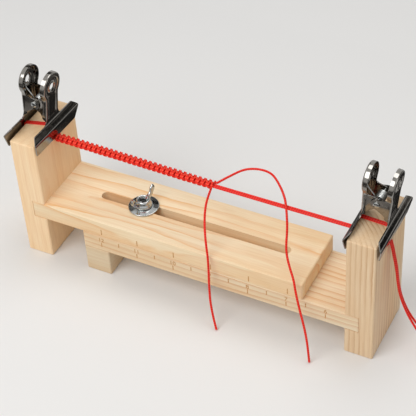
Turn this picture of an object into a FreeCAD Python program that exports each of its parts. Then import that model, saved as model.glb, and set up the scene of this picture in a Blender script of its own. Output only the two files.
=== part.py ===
import FreeCAD, Part
import math
import os
import Sketcher
from FreeCAD import Vector

# Sliding knotting board for square-knot cord work: two L-shaped wooden frames
# slide on each other, a bolt and wing nut lock them, and a spring clip on each
# post holds the cord that is being knotted.
#
# Millimetres. X runs along the board towards the post of the base board, Y to
# the back, Z up; the origin is on the table under the middle of the board.

SAME_PLACE = 1e-4       # mm, within which two places count as one
SMALL_VOLUME = 1e-6     # mm3, less than any real cut takes away
TUBE_ERROR = 0.01       # share by which a tube's volume may differ
ARC_SHARE = 0.45        # of the shorter run that an arc takes up
STRAND_SIDES = 6        # flat sides of a cord's section
WIRE_SIDES = 6
COIL_SIDES = 8
FULL_TURN = 360.0       # degrees
HALF_TURN = 180.0

doc = FreeCAD.newDocument("knotting_board")
sheet = doc.addObject("Spreadsheet::Sheet", "Sizes")

# ---------------------------------------------------------------- dimensions
SIZES = {
    # wooden frame
    "overall_length": 240.0,    # outer face to outer face of the posts
    "post_thickness": 18.0,
    "wood_depth": 47.0,         # front to back, the same for every wooden piece
    "post_rise": 91.0,
    "board_thickness": 12.5,
    "base_length": 186.5,
    "deck_length": 186.2,
    "dado_depth": 9.0,          # how far a board is let into its post
    "foot_thickness": 17.5,
    "foot_rise": 19.5,
    "slide_gap": 0.1,           # between the two sliding boards
    "edge_ease": 0.6,
    # slot and clamp
    "slot_inset": 38.0,         # from the glued end of the deck
    "slot_length": 130.5,
    "slot_width": 6.6,
    "bolt_inset": 32.5,         # from the free end of the base board
    "bolt_radius": 3.0,
    "bolt_stand": 7.6,          # thread standing above the washer
    "head_radius": 7.0,
    "head_rise": 2.4,
    "neck_side": 6.4,
    "neck_depth": 3.5,
    "washer_radius": 9.75,
    "washer_thickness": 1.5,
    "bore_gap": 0.3,            # round the bolt, in washer and boards
    "seat_gap": 0.1,
    "thread_gap": 0.06,
    "nut_base_radius": 5.6,
    "nut_hub_radius": 4.8,
    "nut_height": 6.6,
    "nut_skirt": 1.4,
    "wing_reach": 10.3,
    "wing_rise": 11.6,
    "wing_shoulder": 7.6,
    "wing_width": 2.9,
    "wing_thickness": 1.9,
    "wing_root": 3.8,
    "wing_ease": 1.0,
    "wing_angle": 75.0,
    # spring clips, measured from the hinge pin
    "clip_tilt": 4.0,           # both clips lean towards the right post
    "left_clip_roll": -2.8,     # how far a clip sits askew on its post
    "right_clip_roll": 0.0,
    "jaw_splay": 2.0,           # the webs spread upwards
    "left_pin_rise": 19.3,      # above the top of the post
    "right_pin_rise": 16.8,
    "clip_sheet": 0.6,
    "lip_gap": 0.8,             # kept open by the flattened cord under the lip
    "lip_drop": 26.0,
    "lip_width": 45.0,
    "crest_out": 1.0,
    "crest_drop": 16.1,
    "crest_round": 0.5,
    "jaw_width": 50.0,
    "bar_drop": 12.2,
    "bar_width": 43.6,
    "web_offset": 8.8,
    "neck_width": 14.0,
    "shoulder_ease": 2.6,
    "flange_depth": 3.2,
    "flange_foot": 9.5,
    "handle_radius": 9.3,
    "handle_rise": 12.5,
    "handle_hole": 2.3,
    "ear_radius": 3.6,
    "ear_low": 8.5,
    "ear_high": 5.5,
    "ear_gap": 0.2,             # between the ears of the two jaws
    "pin_radius": 1.25,
    "pin_gap": 0.06,
    "pin_stand": 0.9,           # beyond the outer ears
    "wire_radius": 0.5,
    "coil_gap": 0.5,
    "coil_turns": 8.0,
    "leg_bend": 3.0,            # where the spring's legs turn outwards
    "leg_rise": 8.0,
    "leg_length": 3.0,
    # cord work
    "cord_radius": 0.7,
    "cord_gap": 0.1,
    "strand_half": 0.78,        # half the spacing of two strands side by side
    "band_thickness": 0.6,      # two strands flattened where the clip holds them
    "band_width": 3.2,
    "left_band_y": -1.8,
    "right_band_y": -2.9,
    "braid_half": 3.2,
    "braid_waist": 2.4,
    "braid_thickness": 2.7,
    "braid_drop": 8.9,          # of its middle below the post's top, at the left
    "braid_end_drop": 11.4,
    "knot_pitch": 3.4,
    "knot_count": 32.0,
    "core_y": -1.5,             # where the core meets the right post
    "core_drop": 10.1,
    "band_show": 0.8,           # of the flattened strands below an outer lip
    "cut_over": 1.0,            # how far a cutting outline runs past the metal
}

DERIVED = {
    "left_face": "=-overall_length / 2",
    "right_face": "=overall_length / 2",
    "left_inner": "=left_face + post_thickness",
    "right_inner": "=right_face - post_thickness",
    "left_middle": "=left_face + post_thickness / 2",
    "right_middle": "=right_face - post_thickness / 2",
    "depth_half": "=wood_depth / 2",
    "base_right": "=right_inner + dado_depth",
    "base_left": "=base_right - base_length",
    "base_top": "=foot_rise + board_thickness",
    "deck_left": "=left_inner - dado_depth",
    "deck_right": "=deck_left + deck_length",
    "deck_bottom": "=base_top + slide_gap",
    "deck_top": "=deck_bottom + board_thickness",
    "foot_right": "=base_left + foot_thickness",
    "slot_radius": "=slot_width / 2",
    "slot_left": "=deck_left + slot_inset + slot_radius",
    "slot_right": "=deck_left + slot_inset + slot_length - slot_radius",
    "bolt_x": "=base_left + bolt_inset",
    "bolt_bore": "=bolt_radius + bore_gap",
    "neck_hole_half": "=neck_side / 2 + seat_gap",
    "neck_hole_left": "=bolt_x - neck_hole_half",
    "neck_hole_right": "=bolt_x + neck_hole_half",
    "neck_half_side": "=neck_side / 2",
    "washer_z": "=deck_top + seat_gap",
    "nut_z": "=washer_z + washer_thickness + seat_gap",
    "bolt_rise": "=nut_z + bolt_stand - foot_rise",
    "nut_bore": "=bolt_radius + thread_gap",
    "wing_inner": "=wing_reach - wing_width",
    "lip_spread": "=(post_thickness / 2 + lip_gap) / cos(clip_tilt * 1deg)",
    "lip_in": "=lip_spread * cos(jaw_splay * 1deg) + lip_drop * sin(jaw_splay * 1deg)",
    "lip_low": "=lip_drop * cos(jaw_splay * 1deg) - lip_spread * sin(jaw_splay * 1deg)",
    "lip_out": "=lip_in + clip_sheet",
    "crest_outer": "=lip_out + crest_out",
    "crest_inner": "=crest_outer - clip_sheet",
    "web_in": "=web_offset - clip_sheet",
    "flange_in": "=web_offset - flange_depth",
    "jaw_depth": "=crest_outer - flange_in",
    "web_depth": "=web_offset - flange_in",
    "cut_out": "=crest_outer + cut_over",
    "cut_in": "=flange_in - cut_over",
    "cut_top": "=handle_rise + handle_radius + cut_over",
    "cut_low": "=lip_low + cut_over",
    "neck_half": "=neck_width / 2",
    "dish_half": "=neck_half - clip_sheet",
    "dish_radius": "=handle_radius - clip_sheet",
    "outer_ear_width": "=neck_width",
    "outer_ear_clear": "=neck_width - 2 * clip_sheet",
    "inner_ear_width": "=outer_ear_clear - 2 * ear_gap",
    "inner_ear_clear": "=inner_ear_width - 2 * clip_sheet",
    "ear_corner": "=ear_radius * cos(45deg)",
    "bar_half": "=bar_width / 2",
    "jaw_half": "=jaw_width / 2",
    "lip_half": "=lip_width / 2",
    "left_pin_height": "=post_rise + left_pin_rise",
    "right_pin_height": "=post_rise + right_pin_rise",
    "pin_shift": "=lip_drop * sin(clip_tilt * 1deg)",
    "left_pin_x": "=left_middle + pin_shift",
    "right_pin_x": "=right_middle + pin_shift",
    "pin_hole": "=pin_radius + pin_gap",
    "pin_length": "=neck_width + 2 * pin_stand",
    "band_in": "=post_thickness / 2 + cord_gap",
    "band_out": "=band_in + band_thickness",
    "band_under": "=post_rise + cord_gap",
    "band_top": "=band_under + band_thickness",
    "lip_fall": "=lip_drop * cos(clip_tilt * 1deg)",
    "lip_slope": "=lip_spread * sin(clip_tilt * 1deg)",
    "braid_height": "=post_rise - braid_drop",
    "braid_end_height": "=post_rise - braid_end_drop",
    "core_height": "=post_rise - core_drop",
    "left_band_outer": "=left_pin_height - lip_fall + lip_slope - band_show",
    "left_band_inner": "=braid_height - braid_thickness / 2",
    "right_band_outer": "=right_pin_height - lip_fall - lip_slope - band_show",
    "right_band_inner": "=core_height - cord_radius",
}


def fill_sheet():
    row = 1
    for table in (SIZES, DERIVED):
        for alias, content in table.items():
            address = "B%d" % row
            sheet.set("A%d" % row, alias)
            sheet.set(address, str(content))
            sheet.setAlias(address, alias)
            row += 1
    doc.recompute()


fill_sheet()


def size(alias):
    """The number in a cell; a leading minus gives its negative, "0" is zero."""
    if alias == "0":
        return 0.0
    if alias.startswith("-"):
        return -size(alias[1:])
    content = sheet.get(alias)
    return float(getattr(content, "Value", content))


def formula(alias):
    """The expression that binds a property to a cell."""
    if alias.startswith("-"):
        return "-Sizes." + alias[1:]
    return "Sizes." + alias


# ------------------------------------------------------------ sketch helpers
def new_body(label):
    body = doc.addObject("PartDesign::Body", label)
    body.Label = label
    return body


def place(body, x=None, y=None, z=None, angle=None, axis=Vector(0, 0, 1)):
    """Tie a body's Placement to cells."""
    for name, cell in (("x", x), ("y", y), ("z", z)):
        if cell:
            body.setExpression("Placement.Base." + name, formula(cell))
    if angle:
        body.Placement.Rotation = FreeCAD.Rotation(axis, size(angle))
        body.setExpression("Placement.Rotation.Angle", formula(angle) + " * 1deg")


def new_sketch(body, role, offset=None):
    """A sketch on one of the body's own planes, moved along its normal."""
    sketch = body.newObject("Sketcher::SketchObject", body.Label + "_sketch")
    for plane in body.Origin.OriginFeatures:
        if plane.Role == role:
            sketch.AttachmentSupport = [(plane, "")]
    sketch.MapMode = "FlatFace"
    if offset:
        sketch.setExpression("AttachmentOffset.Base.z", formula(offset))
    return sketch


def pin_point(sketch, element, end, spot):
    """Hold a point of the sketch at two cells."""
    for name, axis, cell in (("DistanceX", -2, spot[0]), ("DistanceY", -1, spot[1])):
        if cell == "0":
            sketch.addConstraint(Sketcher.Constraint("PointOnObject", element, end, axis))
        else:
            number = sketch.addConstraint(
                Sketcher.Constraint(name, -1, 1, element, end, size(cell)))
            sketch.setExpression("Constraints[%d]" % number, formula(cell))


def set_radius(sketch, element, cell):
    number = sketch.addConstraint(Sketcher.Constraint("Radius", element, size(cell)))
    sketch.setExpression("Constraints[%d]" % number, formula(cell))


def sketch_vector(spot):
    return Vector(size(spot[0]), size(spot[1]), 0)


def draw_outline(sketch, corners):
    """A closed outline of straight lines through corners given as cells."""
    first = sketch.GeometryCount
    count = len(corners)
    for index, corner in enumerate(corners):
        end = sketch_vector(corners[(index + 1) % count])
        sketch.addGeometry(Part.LineSegment(sketch_vector(corner), end), False)
    for index in range(count):
        following = first + (index + 1) % count
        sketch.addConstraint(Sketcher.Constraint("Coincident", first + index, 2, following, 1))
    for index, corner in enumerate(corners):
        pin_point(sketch, first + index, 1, corner)


def draw_rectangle(sketch, left, right, low, high):
    draw_outline(sketch, [(left, low), (right, low), (right, high), (left, high)])


def draw_circle(sketch, centre, radius):
    circle = Part.Circle(sketch_vector(centre), Vector(0, 0, 1), size(radius))
    element = sketch.addGeometry(circle, False)
    set_radius(sketch, element, radius)
    if centre == ("0", "0"):
        sketch.addConstraint(Sketcher.Constraint("Coincident", element, 3, -1, 1))
    else:
        pin_point(sketch, element, 3, centre)


def draw_slot(sketch, left, right, radius):
    """A round-ended slot along the sketch's horizontal axis."""
    start = size(left)
    end = size(right)
    half = size(radius)
    up = Vector(0, 0, 1)
    quarter = math.pi / 2
    left_end = Part.Circle(Vector(start, 0, 0), up, half)
    right_end = Part.Circle(Vector(end, 0, 0), up, half)
    sketch.addGeometry(Part.ArcOfCircle(left_end, quarter, 3 * quarter), False)
    sketch.addGeometry(Part.LineSegment(Vector(start, -half, 0), Vector(end, -half, 0)), False)
    sketch.addGeometry(Part.ArcOfCircle(right_end, -quarter, quarter), False)
    sketch.addGeometry(Part.LineSegment(Vector(end, half, 0), Vector(start, half, 0)), False)
    for element in range(4):
        following = (element + 1) % 4
        sketch.addConstraint(Sketcher.Constraint("Tangent", element, 2, following, 1))
    sketch.addConstraint(Sketcher.Constraint("Equal", 0, 2))
    pin_point(sketch, 0, 3, (left, "0"))
    pin_point(sketch, 2, 3, (right, "0"))
    set_radius(sketch, 0, radius)


# ----------------------------------------------------------- feature helpers
def pad(body, sketch, length, symmetric=False):
    """Add the sketch's outline, along its normal or to both sides of it."""
    feature = body.newObject("PartDesign::Pad", body.Label + "_pad")
    feature.Profile = sketch
    feature.setExpression("Length", formula(length))
    feature.Midplane = symmetric
    doc.recompute()
    return feature


def pocket(body, sketch, depth=None, upwards=False, symmetric=False):
    """Cut the sketch's outline out, right through or to a cell's depth."""
    before = body.Shape.Volume
    feature = body.newObject("PartDesign::Pocket", body.Label + "_pocket")
    feature.Profile = sketch
    if depth:
        feature.setExpression("Length", formula(depth))
        feature.Reversed = upwards
        feature.Midplane = symmetric
    else:
        feature.Type = "ThroughAll"
        feature.Midplane = True
    doc.recompute()
    if body.Shape.Volume > before - SMALL_VOLUME:
        raise RuntimeError("a pocket in %s cuts nothing" % body.Label)
    return feature


def dress_edges(body, kind, amount, chosen=None):
    """A Fillet or Chamfer on the edges that a test chooses, or on every edge."""
    base = body.Tip
    feature = body.newObject("PartDesign::" + kind, body.Label + "_" + kind.lower())
    if chosen:
        names = ["Edge%d" % (number + 1)
                 for number, edge in enumerate(base.Shape.Edges) if chosen(edge)]
        feature.Base = (base, names)
    else:
        feature.Base = (base, [""])
        feature.UseAllEdges = True
    measure = "Radius" if kind == "Fillet" else "Size"
    feature.setExpression(measure, formula(amount))
    doc.recompute()
    return feature


def revolve(body, sketch, axis):
    feature = body.newObject("PartDesign::Revolution", body.Label + "_revolve")
    feature.Profile = sketch
    feature.ReferenceAxis = (sketch, [axis])
    doc.recompute()
    return feature


def near(value, cell):
    return abs(value - size(cell)) < SAME_PLACE


def runs_along_y(edge):
    return edge.BoundBox.XLength < SAME_PLACE and edge.BoundBox.ZLength < SAME_PLACE


def runs_along_x(edge):
    return edge.BoundBox.YLength < SAME_PLACE and edge.BoundBox.ZLength < SAME_PLACE


# --------------------------------------------------------------- wooden frame
def plank(label, left, right, bottom, thickness):
    """A board or block of the common depth, its edges eased."""
    body = new_body(label)
    outline = new_sketch(body, "XY_Plane", bottom)
    draw_rectangle(outline, left, right, "-depth_half", "depth_half")
    pad(body, outline, thickness)
    dress_edges(body, "Chamfer", "edge_ease")
    return body


def cut_dado(body, left, right, low, high):
    """The groove across a post that takes the end of a board."""
    groove = new_sketch(body, "XZ_Plane")
    draw_rectangle(groove, left, right, low, high)
    pocket(body, groove)


def make_posts():
    left_post = plank("left_post", "left_face", "left_inner", None, "post_rise")
    cut_dado(left_post, "deck_left", "left_inner", "deck_bottom", "deck_top")
    right_post = plank("right_post", "right_inner", "right_face", None, "post_rise")
    cut_dado(right_post, "right_inner", "base_right", "foot_rise", "base_top")


def make_base_board():
    """The lower board, with the bolt's hole and the square seat of its neck."""
    board = plank("base_board", "base_left", "base_right", "foot_rise", "board_thickness")
    hole = new_sketch(board, "XY_Plane")
    draw_circle(hole, ("bolt_x", "0"), "bolt_bore")
    pocket(board, hole)
    seat = new_sketch(board, "XY_Plane", "foot_rise")
    draw_rectangle(seat, "neck_hole_left", "neck_hole_right",
                   "-neck_hole_half", "neck_hole_half")
    pocket(board, seat, "neck_depth", upwards=True)


def make_slotted_board():
    board = plank("slotted_board", "deck_left", "deck_right", "deck_bottom",
                  "board_thickness")
    slot = new_sketch(board, "XY_Plane")
    draw_slot(slot, "slot_left", "slot_right", "slot_radius")
    pocket(board, slot)


# ---------------------------------------------------------------------- clamp
def make_bolt():
    """A carriage bolt: round head below, square neck, threaded shank up."""
    bolt = new_body("carriage_bolt")
    profile = new_sketch(bolt, "XZ_Plane")
    draw_outline(profile, [("0", "-head_rise"), ("head_radius", "-head_rise"),
                           ("head_radius", "0"), ("bolt_radius", "0"),
                           ("bolt_radius", "bolt_rise"), ("0", "bolt_rise")])
    revolve(bolt, profile, "V_Axis")
    neck = new_sketch(bolt, "XY_Plane")
    draw_rectangle(neck, "-neck_half_side", "neck_half_side",
                   "-neck_half_side", "neck_half_side")
    pad(bolt, neck, "neck_depth")
    place(bolt, x="bolt_x", z="foot_rise")


def make_washer():
    washer = new_body("flat_washer")
    ring = new_sketch(washer, "XY_Plane")
    draw_circle(ring, ("0", "0"), "washer_radius")
    draw_circle(ring, ("0", "0"), "bolt_bore")
    pad(washer, ring, "washer_thickness")
    place(washer, x="bolt_x", z="washer_z")


def make_wing_nut():
    """A round hub with a wider skirt, and two narrow upright wings."""
    nut = new_body("wing_nut")
    hub = new_sketch(nut, "XZ_Plane")
    draw_outline(hub, [("nut_bore", "0"), ("nut_base_radius", "0"),
                       ("nut_base_radius", "nut_skirt"), ("nut_hub_radius", "nut_skirt"),
                       ("nut_hub_radius", "nut_height"), ("nut_bore", "nut_height")])
    revolve(nut, hub, "V_Axis")
    wings = new_sketch(nut, "XZ_Plane")
    for side in ("", "-"):
        draw_outline(wings, [(side + "wing_root", "nut_skirt"),
                             (side + "nut_base_radius", "nut_skirt"),
                             (side + "wing_reach", "wing_shoulder"),
                             (side + "wing_reach", "wing_rise"),
                             (side + "wing_inner", "wing_rise"),
                             (side + "wing_inner", "wing_shoulder"),
                             (side + "wing_root", "nut_height")])
    pad(nut, wings, "wing_thickness", symmetric=True)
    dress_edges(nut, "Chamfer", "wing_ease",
                lambda edge: runs_along_y(edge) and near(edge.BoundBox.ZMax, "wing_rise"))
    place(nut, x="bolt_x", z="nut_z", angle="wing_angle")


# --------------------------------------------------------------- spring clips
def make_jaw(label, ears):
    """One stamped half of a clip: grip bar, web, dished handle and two ears.

    It is drawn for the +X side with the hinge pin on the Y axis; the other
    half is the same stamping turned round, with its ears set further in.
    """
    jaw = new_body(label)
    bar = new_sketch(jaw, "YZ_Plane", "flange_in")
    draw_outline(bar, [("-lip_half", "-lip_low"), ("lip_half", "-lip_low"),
                       ("jaw_half", "-crest_drop"), ("bar_half", "-bar_drop"),
                       ("-bar_half", "-bar_drop"), ("-jaw_half", "-crest_drop")])
    pad(jaw, bar, "jaw_depth")
    neck = new_sketch(jaw, "YZ_Plane", "flange_in")
    draw_rectangle(neck, "-neck_half", "neck_half", "-crest_drop", "handle_rise")
    pad(jaw, neck, "jaw_depth")
    handle = new_sketch(jaw, "YZ_Plane", "flange_in")
    draw_circle(handle, ("0", "handle_rise"), "handle_radius")
    pad(jaw, handle, "web_depth")
    outside = new_sketch(jaw, "XZ_Plane")
    draw_outline(outside, [("lip_out", "-cut_low"), ("cut_out", "-cut_low"),
                           ("cut_out", "cut_top"), ("web_offset", "cut_top"),
                           ("web_offset", "-bar_drop"), ("crest_outer", "-crest_drop"),
                           ("lip_out", "-lip_low")])
    pocket(jaw, outside)
    dress_edges(jaw, "Chamfer", "shoulder_ease",
                lambda edge: runs_along_x(edge) and near(edge.BoundBox.ZMax, "-bar_drop")
                and near(abs(edge.BoundBox.Center.y), "neck_half"))
    dress_edges(jaw, "Fillet", "crest_round",
                lambda edge: runs_along_y(edge) and near(edge.BoundBox.XMax, "crest_outer"))
    cut_hollow(jaw)
    make_ears(jaw, ears)
    hole = new_sketch(jaw, "YZ_Plane")
    draw_circle(hole, ("0", "handle_rise"), "handle_hole")
    pocket(jaw, hole)
    return jaw


def cut_hollow(jaw):
    """Hollow the jaw out to thin sheet, as a bar, a trough and a dished handle."""
    inside = new_sketch(jaw, "XZ_Plane")
    draw_outline(inside, [("cut_in", "-cut_low"), ("lip_in", "-cut_low"),
                          ("lip_in", "-lip_low"), ("crest_inner", "-crest_drop"),
                          ("web_in", "-bar_drop"), ("web_in", "-flange_foot"),
                          ("cut_in", "-flange_foot")])
    pocket(jaw, inside)
    trough = new_sketch(jaw, "YZ_Plane", "web_in")
    draw_rectangle(trough, "-dish_half", "dish_half", "-crest_drop", "handle_rise")
    pocket(jaw, trough, "web_in")
    dish = new_sketch(jaw, "YZ_Plane", "web_in")
    draw_circle(dish, ("0", "handle_rise"), "dish_radius")
    pocket(jaw, dish, "web_in")


def make_ears(jaw, ears):
    """Two plates from the web round the hinge pin, drilled for it."""
    plate = new_sketch(jaw, "XZ_Plane")
    draw_outline(plate, [("0", "-ear_radius"), ("web_in", "-ear_low"),
                         ("web_in", "ear_high"), ("0", "ear_radius"),
                         ("-ear_corner", "ear_corner"), ("-ear_radius", "0"),
                         ("-ear_corner", "-ear_corner")])
    pad(jaw, plate, ears + "_width", symmetric=True)
    between = new_sketch(jaw, "XZ_Plane")
    draw_rectangle(between, "-web_offset", "web_in", "-cut_low", "handle_rise")
    pocket(jaw, between, ears + "_clear", symmetric=True)
    bore = new_sketch(jaw, "XZ_Plane")
    draw_circle(bore, ("0", "0"), "pin_hole")
    pocket(jaw, bore)


def make_pin(label):
    """The hinge pin, a plain rod that stands out a little at both ends."""
    pin = new_body(label)
    section = new_sketch(pin, "XZ_Plane")
    draw_circle(section, ("0", "0"), "pin_radius")
    pad(pin, section, "pin_length", symmetric=True)
    return pin


def flat_sided_ring(radius, y):
    """A closed outline of flat sides round the Y axis."""
    corners = []
    for number in range(COIL_SIDES + 1):
        angle = 2 * math.pi * number / COIL_SIDES
        corners.append(Vector(radius * math.cos(angle), y, radius * math.sin(angle)))
    return Part.makePolygon(corners)


def wire_leg(points, radius):
    """A flat-sided wire through points that all have one y, mitred at its bends."""
    rings = []
    for number, point in enumerate(points):
        arriving = point - points[max(number - 1, 0)]
        leaving = points[min(number + 1, len(points) - 1)] - point
        runs = [run.normalize() for run in (arriving, leaving) if run.Length > SAME_PLACE]
        forward = (runs[0] + runs[-1]).normalize()
        wide = radius / forward.dot(runs[0])
        outward = forward.cross(Vector(0, 1, 0))
        corners = []
        for side in range(WIRE_SIDES):
            angle = 2 * math.pi * side / WIRE_SIDES
            corners.append(point + outward * wide * math.cos(angle)
                           + Vector(0, radius * math.sin(angle), 0))
        rings.append(Part.makePolygon(corners + corners[:1]))
    return Part.makeLoft(rings, True, True)


def make_spring(label):
    """Close-wound coil round the pin, with a leg up against each web."""
    wire = size("wire_radius")
    inner = size("pin_radius") + size("coil_gap")
    middle = inner + wire
    turns = int(size("coil_turns"))
    end = turns * wire
    rings = []
    for step in range(2 * turns + 1):
        crest = step % 2 == 1
        rings.append(flat_sided_ring(inner + (2 * wire if crest else wire), step * wire - end))
    coil = Part.makeLoft(rings, True, True)
    bore = Part.makeLoft([flat_sided_ring(inner, y) for y in (-2 * end, 2 * end)], True, True)
    beside = end - wire
    against_web = size("web_in") - wire - size("seat_gap")
    splay = FreeCAD.Rotation(Vector(0, 1, 0), size("jaw_splay"))
    low = splay.multVec(Vector(against_web, beside, size("leg_rise")))
    high = splay.multVec(Vector(against_web, beside, size("leg_rise") + size("leg_length")))
    leg = wire_leg([Vector(middle, beside, 0), Vector(middle, beside, size("leg_bend")),
                    low, high], wire)
    other_leg = leg.copy()
    other_leg.rotate(Vector(0, 0, 0), Vector(0, 0, 1), HALF_TURN)
    return new_feature(label, coil.cut(bore).fuse([leg, other_leg]).removeSplitter())


def hang_on_clip(node, side, turned=False, splay="0"):
    """Put a clip's piece on its pin, leaning and askew with the clip."""
    steps = ["rotation(vector(1; 0; 0); Sizes.%s_clip_roll)" % side,
             "rotation(vector(0; 1; 0); Sizes.clip_tilt)"]
    if turned:
        steps.append("rotation(vector(0; 0; 1); %s)" % HALF_TURN)
    if splay != "0":
        steps.append("rotation(vector(0; 1; 0); Sizes.%s)" % splay)
    spot = "vector(Sizes.%s_pin_x; 0; Sizes.%s_pin_height)" % (side, side)
    node.setExpression("Placement", "placement(%s; %s)" % (spot, " * ".join(steps)))


def make_clip(side, inner_turned):
    """Both jaws, the pin and the spring of the clip on one post."""
    for place_name, turned in (("inner", inner_turned), ("outer", not inner_turned)):
        jaw = make_jaw("%s_clip_%s_jaw" % (side, place_name), place_name + "_ear")
        hang_on_clip(jaw, side, turned, "jaw_splay")
    hang_on_clip(make_pin(side + "_clip_pin"), side)
    hang_on_clip(make_spring(side + "_clip_spring"), side)


# ------------------------------------------------------------------ cord work
def new_feature(label, shape):
    feature = doc.addObject("Part::Feature", label)
    feature.Label = label
    feature.Shape = shape
    return feature


def rounded_path(points):
    """Straight runs through the points, joined by tangent arcs."""
    edges = []
    start = points[0]
    for before, corner, after in zip(points, points[1:], points[2:]):
        arriving = corner - before
        leaving = after - corner
        reach = ARC_SHARE * min(arriving.Length, leaving.Length)
        half_turn = arriving.getAngle(leaving) / 2
        radius = reach / math.tan(half_turn)
        arriving.normalize()
        leaving.normalize()
        inwards = (leaving - arriving).normalize()
        arc_start = corner - arriving * reach
        arc_end = corner + leaving * reach
        crown = corner + inwards * (radius / math.cos(half_turn) - radius)
        edges.append(Part.LineSegment(start, arc_start).toShape())
        edges.append(Part.Arc(arc_start, crown, arc_end).toShape())
        start = arc_end
    edges.append(Part.LineSegment(start, points[-1]).toShape())
    return Part.Wire(edges)


def tube(points, radius, sides):
    """A flat-sided solid along the points' path, as thick as a round one."""
    path = rounded_path(points)
    part_turn = 2 * math.pi / sides
    reach = radius * math.sqrt(part_turn / math.sin(part_turn))
    forward = (points[1] - points[0]).normalize()
    outward = forward.cross(Vector(0, 1, 0)).normalize() * reach
    corners = []
    for number in range(sides):
        turned = FreeCAD.Rotation(forward, FULL_TURN * number / sides)
        corners.append(points[0] + turned.multVec(outward))
    ring = Part.makePolygon(corners + corners[:1])
    solid = path.makePipeShell([ring], True, False)
    expected = math.pi * radius ** 2 * path.Length
    if abs(solid.Volume / expected - 1) > TUBE_ERROR:
        raise RuntimeError("a tube's volume is not its section times its length")
    return solid


def make_cord(label, points):
    return new_feature(label, tube(points, size("cord_radius"), STRAND_SIDES))


def make_band(label, side):
    """Two strands, flattened by the clip, over the top of a post."""
    band = new_body(label)
    outer, inner = side + "_band_outer", side + "_band_inner"
    on_left, on_right = (outer, inner) if side == "left" else (inner, outer)
    strip = new_sketch(band, "XZ_Plane")
    draw_outline(strip, [("-band_out", on_left), ("-band_in", on_left),
                         ("-band_in", "band_under"), ("band_in", "band_under"),
                         ("band_in", on_right), ("band_out", on_right),
                         ("band_out", "band_top"), ("-band_out", "band_top")])
    pad(band, strip, "band_width", symmetric=True)
    place(band, x=side + "_middle", y=side + "_band_y")


def make_braid():
    """The finished row of square knots: a flat bar with a bulge at each knot."""
    pitch = size("knot_pitch")
    half = size("braid_half")
    waist = size("braid_waist")
    thickness = size("braid_thickness")
    knots = int(size("knot_count"))
    length = knots * pitch
    widths = [half if step % 2 else waist for step in range(2 * knots + 1)]
    edge = [Vector(step * pitch / 2, width, -thickness / 2)
            for step, width in enumerate(widths)]
    other_edge = [Vector(point.x, -point.y, point.z) for point in reversed(edge)]
    outline = Part.makePolygon(edge + other_edge + edge[:1])
    braid = new_feature("knotted_braid",
                        Part.Face(outline).extrude(Vector(0, 0, thickness)))
    fall = size("braid_height") - size("braid_end_height")
    start = Vector(size("left_middle") + size("band_out") + size("cord_gap"), 0,
                   size("braid_height"))
    slope = FreeCAD.Rotation(Vector(0, 1, 0), math.degrees(math.asin(fall / length)))
    braid.Placement = FreeCAD.Placement(start, slope)
    return start + slope.multVec(Vector(length, 0, 0))


# Points of the cords that hang free, in the order they are followed, as drawn
# for a row of knots that ends at this place and a right post of this outer face.
DRAWN_BRAID_X = 7.57
DRAWN_BRAID_TOP = 79.6
DRAWN_POST_FACE = 120.0
DRAWN_TAIL_TOP = 80.2
FRONT_CORD = [(7.0, -2.2, 77.8), (5.4, -4.6, 72.7), (5.8, -9.0, 67.8), (7.2, -13.5, 61.2),
              (11.8, -22.0, 55.7), (15.6, -27.0, 43.4), (16.5, -30.0, 26.3),
              (19.6, -35.0, 11.6), (25.0, -39.7, 0.8)]
BACK_CORD = [(8.3, 2.4, 79.8), (10.6, 6.2, 80.3), (13.7, 10.7, 81.0), (17.7, 16.0, 82.0),
             (21.8, 18.6, 83.0), (27.7, 19.8, 84.0), (34.3, 19.5, 84.5), (39.4, 17.3, 84.5),
             (45.4, 11.7, 84.1), (49.9, 6.7, 83.8), (54.7, 0.0, 83.9), (58.1, -6.0, 77.9),
             (60.0, -10.0, 71.3), (61.3, -15.0, 63.5), (63.2, -18.0, 58.2),
             (66.6, -21.5, 53.2), (70.4, -25.0, 49.0), (72.4, -27.5, 44.0),
             (76.0, -31.0, 35.5), (82.3, -36.0, 21.7), (85.5, -39.2, 11.5),
             (87.0, -40.7, 0.8)]
TAIL_A = [(120.8, -2.1, 80.2), (121.9, -2.1, 76.5), (123.2, -2.2, 70.0), (125.4, -2.4, 59.5),
          (127.0, -2.5, 46.0), (129.6, -2.4, 36.0), (134.0, -2.3, 26.0), (140.5, -2.0, 17.0),
          (149.0, -1.0, 8.5), (158.0, 2.5, 2.6), (166.0, 10.0, 0.8), (169.0, 21.0, 0.8),
          (167.5, 33.0, 0.8)]
TAIL_B = [(120.8, -3.7, 80.2), (121.9, -3.7, 76.5), (123.3, -3.8, 70.0), (125.6, -4.1, 59.5),
          (127.3, -4.3, 46.0), (130.2, -4.6, 36.0), (134.9, -5.1, 26.0), (141.5, -6.2, 17.0),
          (149.5, -8.0, 8.5), (158.0, -11.5, 2.6), (166.0, -18.0, 0.8), (169.5, -27.0, 0.8),
          (167.0, -36.0, 0.8)]


def make_core(braid_end):
    """Two strands pulled straight from the last knot to the right post."""
    post_side = size("right_middle") - size("band_out") - size("cord_gap")
    for letter, beside in (("a", -size("strand_half")), ("b", size("strand_half"))):
        start = braid_end + Vector(size("cord_gap"), beside, 0)
        end = Vector(post_side, size("core_y") + beside, size("core_height"))
        make_cord("core_cord_" + letter, [start, end])


def hung(points, drawn_top, top, shift):
    """The points moved along X, and stretched upwards from where the cord lies."""
    low = points[-1][2]
    share = (top - low) / (drawn_top - low)
    return [Vector(x + shift, y, low + (z - low) * share) for x, y, z in points]


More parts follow.
